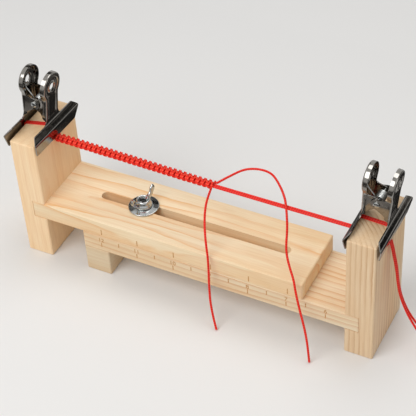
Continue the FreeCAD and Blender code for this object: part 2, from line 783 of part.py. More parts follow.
def make_cord_work():
    make_band("left_anchor_cords", "left")
    make_band("right_anchor_cords", "right")
    braid_end = make_braid()
    make_core(braid_end)
    along = braid_end.x - DRAWN_BRAID_X
    for label, points in (("working_cord_front", FRONT_CORD),
                          ("working_cord_back", BACK_CORD)):
        make_cord(label, hung(points, DRAWN_BRAID_TOP, braid_end.z, along))
    along = size("right_face") - DRAWN_POST_FACE
    tail_top = size("right_band_outer") - size("cord_gap")
    for label, points in (("tail_cord_a", TAIL_A), ("tail_cord_b", TAIL_B)):
        make_cord(label, hung(points, DRAWN_TAIL_TOP, tail_top, along))


# ------------------------------------------------------------------- assembly
make_posts()
make_base_board()
plank("foot_block", "base_left", "foot_right", None, "foot_rise")
make_slotted_board()
make_bolt()
make_washer()
make_wing_nut()
make_clip("left", False)
make_clip("right", True)
make_cord_work()
doc.recompute()

for thing in doc.Objects:
    if "Invalid" in thing.State or "Error" in thing.State:
        raise RuntimeError("%s failed: %s" % (thing.Label, thing.State))

nodes = [thing for thing in doc.Objects
         if thing.TypeId in ("PartDesign::Body", "Part::Feature")]
for node in nodes:
    if node.Shape.isNull() or not node.Shape.isValid():
        raise RuntimeError("%s has no valid shape" % node.Label)
    if len(node.Shape.Solids) != 1:
        raise RuntimeError("%s is %d solids" % (node.Label, len(node.Shape.Solids)))

os.makedirs("parts", exist_ok=True)
for node in nodes:
    node.Shape.exportStep("parts/%s.step" % node.Label)
print(len(nodes), "pieces written")
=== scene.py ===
import math

import bpy
from mathutils import Matrix, Vector
from mathutils.geometry import delaunay_2d_cdt


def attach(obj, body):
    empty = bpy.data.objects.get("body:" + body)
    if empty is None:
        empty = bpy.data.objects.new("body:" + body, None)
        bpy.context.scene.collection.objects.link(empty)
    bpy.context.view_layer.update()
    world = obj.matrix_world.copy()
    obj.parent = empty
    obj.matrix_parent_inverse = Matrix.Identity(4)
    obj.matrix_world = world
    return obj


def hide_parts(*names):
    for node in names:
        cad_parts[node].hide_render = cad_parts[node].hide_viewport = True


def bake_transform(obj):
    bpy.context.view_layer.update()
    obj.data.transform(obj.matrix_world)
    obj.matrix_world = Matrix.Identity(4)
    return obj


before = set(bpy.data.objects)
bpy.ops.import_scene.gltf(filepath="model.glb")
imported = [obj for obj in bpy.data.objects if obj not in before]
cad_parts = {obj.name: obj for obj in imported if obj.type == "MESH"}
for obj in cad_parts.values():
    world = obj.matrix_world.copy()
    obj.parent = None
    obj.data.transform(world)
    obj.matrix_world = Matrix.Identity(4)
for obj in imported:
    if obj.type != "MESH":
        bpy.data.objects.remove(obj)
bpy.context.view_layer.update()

SCENE = bpy.context.scene
SCENE.view_settings.view_transform = "Standard"
MM = 0.001
TURN = 2 * math.pi


def spot(*millimetres):
    """A place or size given in millimetres, as metres."""
    return Vector(millimetres) * MM


# ---------------- the camera
CAMERA_PLACE = (0.30267, -0.53546, 0.61601)  # metres
CAMERA_TURNS = (29.25, 42.176, -3.993)  # azimuth, elevation and roll, degrees
LENS = 118.19  # focal length on a 36 mm sensor


def set_camera():
    data = bpy.data.cameras.new("camera")
    data.lens = LENS
    data.clip_start = 0.05
    data.clip_end = 20.0
    azimuth, elevation, roll = (math.radians(turn) for turn in CAMERA_TURNS)
    camera = new_object("camera", data)
    camera.matrix_world = (Matrix.Translation(CAMERA_PLACE) @ Matrix.Rotation(azimuth, 4, "Z")
                           @ Matrix.Rotation(math.pi / 2 - elevation, 4, "X")
                           @ Matrix.Rotation(roll, 4, "Z"))
    SCENE.camera = camera


# ---------------- node shorthand
MATH = "ShaderNodeMath"
MIX = "ShaderNodeMix"
RAMP = "ShaderNodeValToRGB"
NOISE = "ShaderNodeTexNoise"
BUMP = "ShaderNodeBump"


def colour(code):
    """An sRGB hex colour as linear red, green, blue and alpha."""
    parts = [int(code[i:i + 2], 16) / 255 for i in (1, 3, 5)]
    return [p / 12.92 if p <= 0.04045 else ((p + 0.055) / 1.055) ** 2.4 for p in parts] + [1.0]


def feed(socket, value):
    """Set a socket to a plain value, or link it from another socket."""
    if isinstance(value, bpy.types.NodeSocket):
        socket.id_data.links.new(value, socket)
    else:
        socket.default_value = value


def add(tree, kind, inputs=None, out=0, stops=(), **settings):
    """Add a node and give its output of that name or number, or for None all of them.

    inputs are plain values or sockets to link from, and stops are the
    (position, hex colour) pairs of a colour ramp.
    """
    made = tree.nodes.new(kind)
    for name, value in settings.items():
        setattr(made, name, value)
    for name, value in (inputs or {}).items():
        feed(made.inputs[name], value)
    for index, (position, code) in enumerate(stops):
        bar = made.color_ramp.elements
        element = bar[index] if index < len(bar) else bar.new(position)
        element.position = position
        element.color = colour(code)
    return made.outputs if out is None else made.outputs[out]


def new_material(name):
    """A node material, with its tree and its Principled shader."""
    material = bpy.data.materials.new(name)
    material.use_nodes = True
    tree = material.node_tree
    return material, tree, tree.nodes["Principled BSDF"]


def settle(shader, **values):
    """Set a shader's own sockets, to plain values or links."""
    for name, value in values.items():
        feed(shader.inputs[name.replace("_", " ")], value)


# ---------------- finishes
# A noise's Scale is its cells per metre: 34 is a cell of 29 mm.
ALONG_X = (0, math.pi / 2, 0)
ALONG_Z = (0, 0, 0)
PLAIT = 1.5  # a diamond on the cord, mm; real ones are 0.4 and wouldn't show
FIBRE = 0.7  # width of a wood fibre, mm; real ones are 0.05 and wouldn't show


def pine(name, grain, pith, late_wood, ring, wander, depth, early):
    """Planed, unfinished pine.

    Growth rings round a pith outside the piece: wide pale early wood, a narrow
    orange line of late wood, and fine fibres along the grain. The rings are
    solid, so faces, edges and end grain all show the same wood. grain turns
    the pattern's long axis to the piece's. pith, where the rings centre, ring,
    their width, and wander, how much they stray, are in millimetres; depth is
    how strongly they show.
    """
    material, tree, shader = new_material(name)
    place = add(tree, "ShaderNodeTexCoord", out="Object")
    lengthwise = add(tree, "ShaderNodeMapping", {
        "Vector": place, "Rotation": grain, "Location": spot(*pith)})
    long_scale = add(tree, "ShaderNodeMapping", {"Vector": lengthwise, "Scale": (1, 1, 0.16)})
    drift = add(tree, NOISE, {"Vector": long_scale, "Scale": 34.0}, out="Color")
    centred = add(tree, "ShaderNodeVectorMath", {0: drift, 1: (0.5, 0.5, 0.5)},
                  operation="SUBTRACT")
    bent = add(tree, "ShaderNodeVectorMath", {
        0: centred, 1: (wander * 6 * MM,) * 3, 2: lengthwise},
        operation="MULTIPLY_ADD")
    # A wave texture makes 20 / TURN rings to the metre for each unit of Scale.
    rings = add(tree, "ShaderNodeTexWave", {
        "Vector": bent, "Scale": TURN / 20 / (ring * MM), "Distortion": 0.6,
        "Detail Scale": 2.0}, wave_type="RINGS", rings_direction="Z",
        wave_profile="SAW", out="Fac")
    late = add(tree, RAMP, {0: rings}, stops=[
        (0.0, "#000000"), (0.45, "#202020"), (0.86, "#d0d0d0"), (0.93, "#ffffff"),
        (1.0, "#000000")])
    # Some rings are faint and some are strong, and each fades along the board.
    uneven = add(tree, NOISE, {"Vector": long_scale, "Scale": 75.0, "Detail": 1.0})
    strength = add(tree, "ShaderNodeMapRange", {
        "Value": uneven, "From Min": 0.35, "From Max": 0.68, "To Min": 0.25 * depth,
        "To Max": depth})
    shown = add(tree, MATH, {0: late, 1: strength}, operation="MULTIPLY")
    figure = add(tree, MIX, {0: shown, 6: colour(early), 7: colour(late_wood)},
                 data_type="RGBA", out=2)
    fibre_scale = add(tree, "ShaderNodeMapping", {"Vector": lengthwise, "Scale": (1, 1, 0.035)})
    fibre = add(tree, NOISE, {
        "Vector": fibre_scale, "Scale": 1 / (FIBRE * MM), "Detail": 3.0,
        "Roughness": 0.6})
    streak = add(tree, RAMP, {0: fibre}, stops=[(0.3, "#e9d3b6"), (0.7, "#ffffff")])
    patches = add(tree, NOISE, {"Vector": long_scale, "Scale": 48.0})
    cloudy = add(tree, RAMP, {0: patches}, stops=[(0.35, "#f6dfc2"), (0.7, "#ffffff")])
    wood = figure
    for share, tint in ((0.4, streak), (0.6, cloudy)):
        wood = add(tree, MIX, {0: share, 6: wood, 7: tint},
                   data_type="RGBA", blend_type="MULTIPLY", out=2)
    sheen = add(tree, "ShaderNodeMapRange", {"Value": late, "To Min": 0.66, "To Max": 0.5})
    low_rings = add(tree, MATH, {0: late, 1: 0.4}, operation="MULTIPLY")
    surface = add(tree, MATH, {0: fibre, 1: 0.8, 2: low_rings}, operation="MULTIPLY_ADD")
    bump = add(tree, BUMP, {"Height": surface, "Strength": 0.3, "Distance": 0.12 * MM})
    settle(shader, Base_Color=wood, Roughness=sheen, Normal=bump, IOR=1.5,
           Specular_IOR_Level=0.3)
    return material


def plated(name, base, roughness, ripple, grain, depth):
    """Plated steel: a thin bright metal coat over a pressed or turned blank.

    The coat is nearly a mirror; slow ripples of the blank under it bend the
    reflections, and faint handling marks dull it here and there. ripple and
    depth are the ripples' width and height and grain the marks' width, in
    millimetres.
    """
    material, tree, shader = new_material(name)
    place = add(tree, "ShaderNodeTexCoord", out="Object")
    waves = add(tree, NOISE, {"Vector": place, "Scale": 1 / (ripple * MM), "Detail": 1.0})
    marks = add(tree, NOISE, {
        "Vector": place, "Scale": 1 / (grain * MM), "Detail": 6.0,
        "Roughness": 0.7})
    dulled = add(tree, "ShaderNodeMapRange", {
        "Value": marks, "From Min": 0.35, "From Max": 0.75,
        "To Min": roughness * 0.7, "To Max": roughness * 1.6})
    shade = add(tree, RAMP, {0: marks}, stops=[(0.3, base[0]), (0.7, base[1])])
    bump = add(tree, BUMP, {"Height": waves, "Strength": 0.25, "Distance": depth * MM})
    settle(shader, Base_Color=shade, Roughness=dulled, Normal=bump, Metallic=1.0)
    return material


def nylon(name, tones):
    """Braided nylon cord: a tight sleeve of filaments with a silky gloss.

    The sleeve's diamonds are drawn from how far round and how far along the
    cord a point is. Where a row of knots stores how deep a point lies, the
    grooves are painted darker red: painted shade between the knots.
    """
    material, tree, shader = new_material(name)
    along, around, groove_shade = (
        add(tree, "ShaderNodeAttribute", out="Fac", attribute_name=stored)
        for stored in ("along", "around", "groove_shade"))
    turns = add(tree, MATH, {0: along, 1: TURN / (PLAIT * MM)}, operation="MULTIPLY")
    wave = add(tree, MATH, {0: turns}, operation="COSINE")
    crossed = add(tree, MATH, {0: wave, 1: around}, operation="ADD")
    weave = add(tree, MATH, {0: crossed, 1: 0.25, 2: 0.5}, operation="MULTIPLY_ADD")
    place = add(tree, "ShaderNodeTexCoord", out="Object")
    fuzz = add(tree, NOISE, {"Vector": place, "Scale": 1 / (0.5 * MM), "Detail": 4.0})
    shade = add(tree, RAMP, {0: weave}, stops=tones)
    dusty = add(tree, RAMP, {0: fuzz}, stops=[(0.35, "#e8c8c4"), (0.65, "#ffffff")])
    red = add(tree, MIX, {0: 0.25, 6: shade, 7: dusty},
              data_type="RGBA", blend_type="MULTIPLY", out=2)
    # Painted shade: points lying deep between the knots are mixed towards dark red.
    red = add(tree, MIX, {0: groove_shade, 6: red, 7: colour("#b00a0c")}, data_type="RGBA", out=2)
    height = add(tree, MATH, {0: fuzz, 1: 0.3, 2: weave}, operation="MULTIPLY_ADD")
    bump = add(tree, BUMP, {"Height": height, "Strength": 0.2, "Distance": 0.1 * MM})
    settle(shader, Base_Color=red, Roughness=0.42, Normal=bump, IOR=1.53,
           Specular_IOR_Level=0.22, Sheen_Weight=0.02, Sheen_Roughness=0.4,
           Sheen_Tint=colour("#ff6a50"))
    return material


def plain(name, code, roughness):
    """Matt paper of one colour."""
    material, _, shader = new_material(name)
    settle(shader, Base_Color=colour(code), Roughness=roughness, Specular_IOR_Level=0.2)
    return material


def mottled(name, width, detail, tones, roughness, relief):
    """A matt surface in patches of a few tones, each width millimetres wide."""
    material, tree, shader = new_material(name)
    place = add(tree, "ShaderNodeTexCoord", out="Object")
    patches = add(tree, NOISE, {"Vector": place, "Scale": 1 / (width * MM), "Detail": detail})
    shade = add(tree, RAMP, {0: patches}, stops=tones)
    bump = add(tree, BUMP, {"Height": patches, "Strength": relief, "Distance": 0.1 * MM})
    settle(shader, Base_Color=shade, Normal=bump, Roughness=roughness)
    return material


# ---------------- geometry helpers
def dress(piece, finish):
    piece.data.materials.clear()
    piece.data.materials.append(finish)


def finish_piece(piece, name, finish, body=None, stands_for=()):
    """Name a mesh piece, dress it, tie it to its body, and hide the nodes it stands for."""
    piece.name = name
    piece.data.name = name
    dress(piece, finish)
    if body:
        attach(piece, body)
    if stands_for:
        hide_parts(*stands_for)


def new_object(name, data):
    made = bpy.data.objects.new(name, data)
    SCENE.collection.objects.link(made)
    return made


def mesh_object(name, vertices, faces):
    """A mesh object from places in millimetres and faces."""
    mesh = bpy.data.meshes.new(name)
    mesh.from_pydata([spot(*vertex) for vertex in vertices], [], faces)
    return new_object(name, mesh)


def shade_smooth(mesh, sharp_over=50):
    mesh.polygons.foreach_set("use_smooth", [True] * len(mesh.polygons))
    mesh.set_sharp_from_angle(angle=math.radians(sharp_over))
    mesh.update()


def evaluated_mesh(thing):
    """A new mesh of an object: its modifiers, spline or letters."""
    graph = bpy.context.evaluated_depsgraph_get()
    return bpy.data.meshes.new_from_object(thing.evaluated_get(graph))


def settled_mesh(piece):
    """A piece's mesh with its modifiers applied; they are taken off."""
    mesh = evaluated_mesh(piece)
    piece.modifiers.clear()
    piece.data = mesh
    return mesh


def join(objects):
    """One object from several, their meshes together."""
    with bpy.context.temp_override(active_object=objects[0], object=objects[0],
                                   selected_objects=objects,
                                   selected_editable_objects=objects):
        bpy.ops.object.join()
    return objects[0]


def ease(low, high, value):
    """0 below low, 1 above high, and a smooth step between them."""
    share = min(max((value - low) / (high - low), 0.0), 1.0)
    return share * share * (3 - 2 * share)


def arc(centre, radius, start, end, steps):
    """Points round a centre, from one angle to another, in degrees."""
    angles = [math.radians(start + (end - start) * step / steps) for step in range(steps + 1)]
    return [(centre[0] + radius * math.cos(a), centre[1] + radius * math.sin(a))
            for a in angles]


def tube_faces(rows, around):
    """Faces for rings of points, one after another, closed at both ends."""
    faces = [tuple(reversed(range(around)))]
    for row in range(rows - 1):
        lower, upper = row * around, (row + 1) * around
        for step in range(around):
            beside = (step + 1) % around
            faces.append((lower + step, lower + beside, upper + beside, upper + step))
    return faces + [tuple(range((rows - 1) * around, rows * around))]


def lathe(name, profile, steps):
    """A piece turned on a lathe: (radius, height) pairs round Z, from below upwards.

    The profile runs up the outside; it ends on the axis, or comes back down a
    bore to where it started.
    """
    vertices = []
    rows = []
    for radius, height in profile:
        if radius == 0:
            rows.append([len(vertices)] * steps)
            vertices.append((0, 0, height))
        else:
            rows.append(range(len(vertices), len(vertices) + steps))
            vertices += [(radius * math.cos(TURN * step / steps),
                          radius * math.sin(TURN * step / steps), height)
                         for step in range(steps)]
    faces = []
    has_bore = profile[0][0] != 0
    for lower, upper in zip(rows, rows[1:] + rows[:1] if has_bore else rows[1:]):
        for step in range(steps):
            beside = (step + 1) % steps
            faces.append(list(dict.fromkeys(
                (lower[step], lower[beside], upper[beside], upper[step]))))
    return mesh_object(name, vertices, faces)


# ---------------- geometry node trees
def node_tree_group(name, sockets):
    """An empty Geometry Nodes tree with named inputs; gives it and its inputs."""
    tree = bpy.data.node_groups.new(name, "GeometryNodeTree")
    tree.interface.new_socket("Geometry", in_out="OUTPUT", socket_type="NodeSocketGeometry")
    for socket, kind in [("Geometry", "Geometry")] + sockets:
        tree.interface.new_socket(socket, in_out="INPUT", socket_type="NodeSocket" + kind)
    return tree, tree.nodes.new("NodeGroupInput").outputs


def close_tree(tree, geometry, material):
    """End a tree with Realize Instances and Set Material."""
    real = add(tree, "GeometryNodeRealizeInstances", {"Geometry": geometry})
    dressed = add(tree, "GeometryNodeSetMaterial", {"Geometry": real, "Material": material})
    add(tree, "NodeGroupOutput", {"Geometry": dressed}, out=None)
    return tree


def run_tree(tree, name, **values):
    """Run a tree on an empty mesh and give its result as a plain mesh object."""
    carrier = new_object(name, bpy.data.meshes.new(name))
    modifier = carrier.modifiers.new(name, "NODES")
    modifier.node_group = tree
    named = {item.name: item.identifier for item in tree.interface.items_tree
             if item.in_out == "INPUT"}
    for key, value in values.items():
        modifier[named[key.replace("_", " ")]] = value
    shade_smooth(settled_mesh(carrier))
    return carrier


def strand_tree(name, flat):
    """Sweep a round or flattened section along a line.

    It keeps how far along and how far round the strand each point is, for the
    plait of the finish. A flat strand keeps its width along Y.
    """
    tree, given = node_tree_group(name, [
        ("Path", "Object"), ("Width", "Float"), ("Thickness", "Float"), ("Sides", "Int"),
        ("Spacing", "Float"), ("Finish", "Material")])
    line = add(tree, "GeometryNodeObjectInfo", {"Object": given["Path"]}, out="Geometry")
    line = add(tree, "GeometryNodeResampleCurve", {
        "Curve": line, "Length": given["Spacing"]}, mode="LENGTH")
    if flat:
        tangent = add(tree, "GeometryNodeInputTangent")
        facing = add(tree, "ShaderNodeVectorMath", {0: tangent, 1: (0.0, 1.0, 0.0)},
                     operation="CROSS_PRODUCT")
        line = add(tree, "GeometryNodeSetCurveNormal", {
            "Curve": line, "Normal": facing}, mode="FREE")
    travelled = add(tree, "GeometryNodeSplineParameter", out="Length")
    line = add(tree, "GeometryNodeStoreNamedAttribute", {
        "Geometry": line, "Name": "along", "Value": travelled})
    ring = add(tree, "GeometryNodeCurvePrimitiveCircle", {
        "Resolution": given["Sides"], "Radius": 0.5})
    turned = add(tree, "GeometryNodeSplineParameter")
    # Four diamonds go round the cord.
    angle = add(tree, MATH, {0: turned, 1: 4 * TURN}, operation="MULTIPLY")
    ridge = add(tree, MATH, {0: angle}, operation="COSINE")
    ring = add(tree, "GeometryNodeStoreNamedAttribute", {
        "Geometry": ring, "Name": "around", "Value": ridge})
    size = add(tree, "ShaderNodeCombineXYZ", {
        "X": given["Thickness"], "Y": given["Width"], "Z": 1.0})
    ring = add(tree, "GeometryNodeTransform", {"Geometry": ring, "Scale": size})
    swept = add(tree, "GeometryNodeCurveToMesh", {
        "Curve": line, "Profile Curve": ring, "Fill Caps": True})
    return close_tree(tree, swept, given["Finish"])


def repeat_tree(name, drift_width):
    """Set copies of one piece out in a straight row, joined where they meet.

    The row is then made uneven by a slow noise, drift_width millimetres wide.
    """
    tree, given = node_tree_group(name, [
        ("Piece", "Object"), ("Count", "Int"), ("Pitch", "Float"), ("Unevenness", "Float"),
        ("Seed", "Float"), ("Finish", "Material")])
    step = add(tree, "ShaderNodeCombineXYZ", {"X": given["Pitch"]})
    row = add(tree, "GeometryNodeMeshLine", {"Count": given["Count"], "Offset": step})
    piece = add(tree, "GeometryNodeObjectInfo", {"Object": given["Piece"]}, out="Geometry")
    copies = add(tree, "GeometryNodeInstanceOnPoints", {"Points": row, "Instance": piece})
    real = add(tree, "GeometryNodeRealizeInstances", {"Geometry": copies})
    joined = add(tree, "GeometryNodeMergeByDistance", {"Geometry": real, "Distance": 0.02 * MM})
    drift = add(tree, NOISE, {
        "W": given["Seed"], "Scale": 1 / (drift_width * MM), "Detail": 1.0},
        noise_dimensions="4D", out="Color")
    centred = add(tree, "ShaderNodeVectorMath", {0: drift, 1: (0.5, 0.5, 0.5)},
                  operation="SUBTRACT")
    moved = add(tree, "ShaderNodeVectorMath", {
        0: centred, "Scale": given["Unevenness"]}, operation="SCALE")
    uneven = add(tree, "GeometryNodeSetPosition", {"Geometry": joined, "Offset": moved})
    return close_tree(tree, uneven, given["Finish"])


# ---------------- free ends of the cords
CORD = 1.4  # diameter, mm
WORKING_FRONT = [(6.9, -1.7, 79.0), (5.4, -4.6, 72.7), (5.8, -9.0, 67.8), (7.2, -13.5, 61.2),
                 (11.8, -22.0, 55.7), (15.6, -27.0, 43.4), (16.5, -30.0, 26.3),
                 (19.6, -35.0, 11.6), (25.0, -39.7, 0.8)]
WORKING_BACK = [(8.3, 2.4, 79.8), (10.6, 6.2, 80.3), (13.7, 10.7, 81.0), (17.7, 16.0, 82.0),
                (21.8, 18.6, 83.0), (27.7, 19.8, 84.0), (34.3, 19.5, 84.5),
                (39.4, 17.3, 84.5), (45.4, 11.7, 84.1), (49.9, 6.7, 83.8),
                (54.7, 0.0, 83.9), (58.1, -6.0, 77.9), (60.0, -10.0, 71.3),
                (61.3, -15.0, 63.5), (63.2, -18.0, 58.2), (66.6, -21.5, 53.2),
                (70.4, -25.0, 49.0), (72.4, -27.5, 44.0), (76.0, -31.0, 35.5),
                (82.3, -36.0, 21.7), (85.5, -39.2, 11.5), (87.0, -40.7, 0.8)]
TAIL_A = [(120.8, -2.1, 80.2), (121.9, -2.1, 76.5), (123.2, -2.2, 70.0),
          (125.4, -2.4, 59.5), (127.0, -2.5, 46.0), (129.6, -2.4, 36.0),
          (134.0, -2.3, 26.0), (140.5, -2.0, 17.0), (149.0, -1.0, 8.5),
          (158.0, 2.5, 2.6), (166.0, 10.0, 0.8), (169.0, 21.0, 0.8), (167.5, 33.0, 0.8)]
TAIL_B = [(120.8, -3.7, 80.2), (121.9, -3.7, 76.5), (123.3, -3.8, 70.0),
          (125.6, -4.1, 59.5), (127.3, -4.3, 46.0), (130.2, -4.6, 36.0),
          (134.9, -5.1, 26.0), (141.5, -6.2, 17.0), (149.5, -8.0, 8.5),
          (158.0, -11.5, 2.6), (166.0, -18.0, 0.8), (169.5, -27.0, 0.8),
          (167.0, -36.0, 0.8)]


def route(points, name, order=3, kind="NURBS"):
    """A line with the points, in millimetres, as its controls: smooth, or POLY."""
    data = bpy.data.curves.new(name, "CURVE")
    data.dimensions = "3D"
    data.resolution_u = 10
    spline = data.splines.new(kind)
    spline.points.add(len(points) - 1)
    for control, point in zip(spline.points, points):
        control.co = (*spot(*point), 1)
    spline.order_u = order
    spline.use_endpoint_u = True
    return new_object(name, data)


def points_of(line):
    """The points along a route."""
    return [vertex.co.copy() for vertex in evaluated_mesh(line).vertices]


def swept(tree, line, name, width, thickness, finish, sides, spacing):
    """A strand along a line, which is then taken away; sizes in millimetres."""
    piece = run_tree(tree, name, Path=line, Width=width * MM, Thickness=thickness * MM,
                     Sides=sides, Spacing=spacing * MM, Finish=finish)
    bpy.data.objects.remove(line)
    return piece


def make_free_cords(tree, finish):
    """The two working cords and the two tails, limp nylon with bare sealed ends."""
    for name, points, body, length in (
            ("working_cord_front", WORKING_FRONT, "sliding_frame", 90.9),
            ("working_cord_back", WORKING_BACK, "sliding_frame", 162.7),
            ("tail_cord_a", TAIL_A, "base", 124.0),
            ("tail_cord_b", TAIL_B, "base", 118.9)):
        line = route(points, name + "_route")
        followed = points_of(line)
        piece = swept(tree, line, name + "_strand", CORD, CORD, finish, sides=16, spacing=0.8)
        finish_piece(piece, name + "_strand", finish, body, [name])


# ---------------- the knotted row
BRAID_START = (-101.2, 0.0, 82.1)
BRAID_END = (7.57, 0.0, 79.6)
KNOTS = 32
BRAID_LENGTH = math.dist(BRAID_START, BRAID_END)
BRAID_SLOPE = math.asin((BRAID_START[2] - BRAID_END[2]) / BRAID_LENGTH)
PITCH = BRAID_LENGTH / KNOTS
# The cord that crosses in front turns back low at each edge; the other crosses
# behind the core and stands as a bar over the first one's turn. For each: how
# far it swings, how square its swing is, its height at the middle and at the
# edge, and the side it starts from.
FRONT_STRAND = (2.3, 1.0, 1.5, 0.0, -1)
BACK_STRAND = (3.2, 0.7, -1.0, 0.8, 1)
KNOT_CORD = (1.35, 1.6)  # the drawn-up strands' width and thickness, mm
INNER_CORE = (3.4, 1.5)  # the core inside the knots, as one flat strand
UNEVENNESS = 0.5  # how far the slow noise can move the knots
GROOVE_SHADE_REACH = (3.6, 2.0)  # half the width and height inside which cord is painted darker, as painted shade


def knot_path(shape):
    """One wave of a strand through a square knot, as a poly line."""
    reach, squareness, middle, edge, side = shape
    points = []
    steps = 32
    for step in range(steps + 1):
        swing = math.cos(TURN * step / steps)
        broad = math.copysign(abs(swing) ** squareness, swing)
        lift = edge + (middle - edge) * (1 - swing ** 2)
        points.append((PITCH * step / steps, side * reach * broad, lift))
    return route(points, "knot_path", kind="POLY")


def knot_row(tree, sweep, finish):
    """A flat row of square knots, each one wave of two strands, with its core."""
    rows = []
    for shape in (FRONT_STRAND, BACK_STRAND):
        strand = swept(sweep, knot_path(shape), "knot_strand", *KNOT_CORD, finish,
                       sides=12, spacing=0.25)
        rows.append(run_tree(tree, "knotted_row", Piece=strand, Count=KNOTS, Pitch=PITCH * MM,
                             Unevenness=UNEVENNESS * MM, Seed=3.0, Finish=finish))
        bpy.data.objects.remove(strand)
    core = route([(0, 0, 0), (BRAID_LENGTH / 2, 0, 0), (BRAID_LENGTH, 0, 0)], "knot_core")
    rows.append(swept(sweep, core, "knot_core", *INNER_CORE, finish, sides=16, spacing=0.8))
    row = join(rows)
    # Painted shade: how deep a point lies in the row, from 0 outside to 0.9 at the core; the
    # finish paints deeper points darker.
    depth = row.data.attributes.new("groove_shade", "FLOAT", "POINT")
    for vertex, value in zip(row.data.vertices, depth.data):
        outwards = math.hypot(vertex.co.y / (GROOVE_SHADE_REACH[0] * MM), vertex.co.z / (GROOVE_SHADE_REACH[1] * MM))
        value.value = 0.9 * (1 - ease(0.25, 0.9, outwards))
    row.data.transform(Matrix.Translation(spot(*BRAID_START))
                       @ Matrix.Rotation(BRAID_SLOPE, 4, "Y"))
    finish_piece(row, "square_knot_row", finish, "sliding_frame",
                 ["knotted_braid"])


POST_MIDDLE = 111.0  # of each post, from the middle of the boards
POST_TOP = 91.0
BESIDE_POST = 9.42  # middle of a flattened strand, from the post's middle
PAIR = (-0.78, 0.78)  # two strands side by side
CORE_CORD = (1.55, 1.3)  # width and thickness under tension
HELD_CORD = (1.6, 0.66)  # and pressed flat under a clip
# For each post: its body, the way out, how far along Y the strands lie on the
# outer and the inner face, and how low they reach on each.
HELD = {"left": ("sliding_frame", -1, -4.6, 1.6, 84.4, 81.0),
        "right": ("base", 1, -2.9, -1.6, 80.5, 80.4)}


def make_held_strands(sweep, finish):
    """The core between the last knot and the right post, and the strands under the clips."""
    core = []
    for beside in PAIR:
        # From the last knot to the right post's inner face, a little to the front.
        line = route([(7.6, beside, 79.6), (50.0, beside * 1.1 - 0.6, 80.0),
                      (101.4, beside - 1.5, 80.9)], "core_route")
        core.append(swept(sweep, line, "core_strand", *CORE_CORD, finish,
                          sides=16, spacing=1.0))
    strands = join(core)
    finish_piece(strands, "core_strands", finish)
    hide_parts("core_cord_a", "core_cord_b")
    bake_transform(strands)
    over = POST_TOP + 0.45  # a strand's middle on the post's top
    for side, (body, out, y_outer, y_inner, low_outer, low_inner) in HELD.items():
        # Up the outer face, across the top and down the inner face: how far from
        # the post's middle, how much of the way along Y is done, and the height.
        stations = [(BESIDE_POST, 0.0, low_outer), (BESIDE_POST, 0.0, 87.0),
                    (BESIDE_POST, 0.1, over), (8.5, 0.15, over), (0.0, 0.5, over),
                    (-8.5, 0.85, over), (-BESIDE_POST, 0.9, over),
                    (-BESIDE_POST, 1.0, 86.0), (-BESIDE_POST, 1.0, low_inner)]
        held = []
        for beside in PAIR:
            points = [(out * (POST_MIDDLE + across),
                       y_outer + (y_inner - y_outer) * share + beside, height)
                      for across, share, height in stations]
            held.append(swept(sweep, route(points, "held_route"), "held_strand", *HELD_CORD,
                              finish, sides=16, spacing=0.5))
        finish_piece(join(held), side + "_held_strands", finish, body,
                     [side + "_anchor_cords"])


# ---------------- spring clips
# A jaw is drawn as its solid is: hinge pin on the Y axis, web towards +X; all in mm.
SHEET = 0.6  # thickness
WEB = 8.8  # outer face of the web
LIP_Z = -25.6
CREST_Z = -16.1
BEND_Z = -12.2
JAW_FACE = [(LIP_Z, 11.325), (CREST_Z, 12.325), (BEND_Z, WEB), (25.0, WEB)]
BEND = 1.1  # half the height over which a bend is rounded
FOLD = 1.0  # radius of the folded edge
FOLD_FADES = (-11.6, -8.6)  # the edge is flat below and folded above
NECK = 7.0 - FOLD  # half the neck, inside its folded edges
NECK_FILLETS = (4.2, 7.0)  # hollow curves into the bar and into the handle
HANDLE_Z = 12.5
HANDLE = 9.3 - FOLD
FLANGE = 3.2  # how far the folded edge reaches inwards
EAR = 3.6  # round end of an ear, about the pin
EAR_BASE = 8.2  # how far an ear's sloping sides run inwards,
EAR_RISES = (4.9, 1.9)  # and along the jaw, below and above the ear
EARS_SET_IN = 0.8  # of the inner jaw, to pass between the outer one's
# Round corners of the grip bar, from the lip up: centre, radius, angles, steps.
BAR_CORNERS = [((21.3, LIP_Z + 1.2), 1.2, -90, -15, 5), ((23.7, CREST_Z), 1.3, -15, 35, 4),
               ((20.6, BEND_Z - 1.2), 1.2, 40, 90, 4)]
# What the press raises or sinks: where each form's slope begins and ends.
DISH = (6.1, 7.3)  # from the hole
TROUGH_SIDE = (3.4, 5.2)  # from the neck's middle
TROUGH_FOOT = (-11.0, -7.5)
TROUGH_TOP = (6.0, 9.0)
SUNK = 0.6
HOLE = 2.3  # radius
BEAD = 3.25  # radius of the eyelet's rolled rim
BEAD_WIDTH = 0.6
BEAD_HEIGHT = 0.65
# Mesh points: how far apart, how far at a bend, how far inside the edge, and the
# rings on the handle, close where its form turns.
STEP = 0.8
FINE_STEP = 0.3
MARGIN = 0.4
RINGS = (2.6, 2.9, BEAD, 3.6, 4.0, 4.8, 5.6, 6.1, 6.5, 6.9, 7.3, 7.8)
SPLAY = math.radians(2.0)  # of each jaw at rest, about the pin
TILT = math.radians(4.0)  # of each clip, away from upright
# For each clip: its pin's place, its roll, whether its inner jaw is the one turned
# round, and the post's body.
CLIPS = {
    "left": (spot(-109.186, 0, 110.3), math.radians(-2.8), False, "sliding_frame"),
    "right": (spot(112.814, 0, 107.8), 0.0, True, "base"),
}


def face_at(z):
    """How far out the jaw's face lies at a height, its bends rounded by averaging."""
    total = 0.0
    samples = 9
    for sample in range(samples):
        level = z + BEND * (2 * sample / (samples - 1) - 1)
        for (low, out_low), (high, out_high) in zip(JAW_FACE, JAW_FACE[1:]):
            if level <= high or high == JAW_FACE[-1][0]:
                total += out_low + (out_high - out_low) * (level - low) / (high - low)
                break
    return total / samples


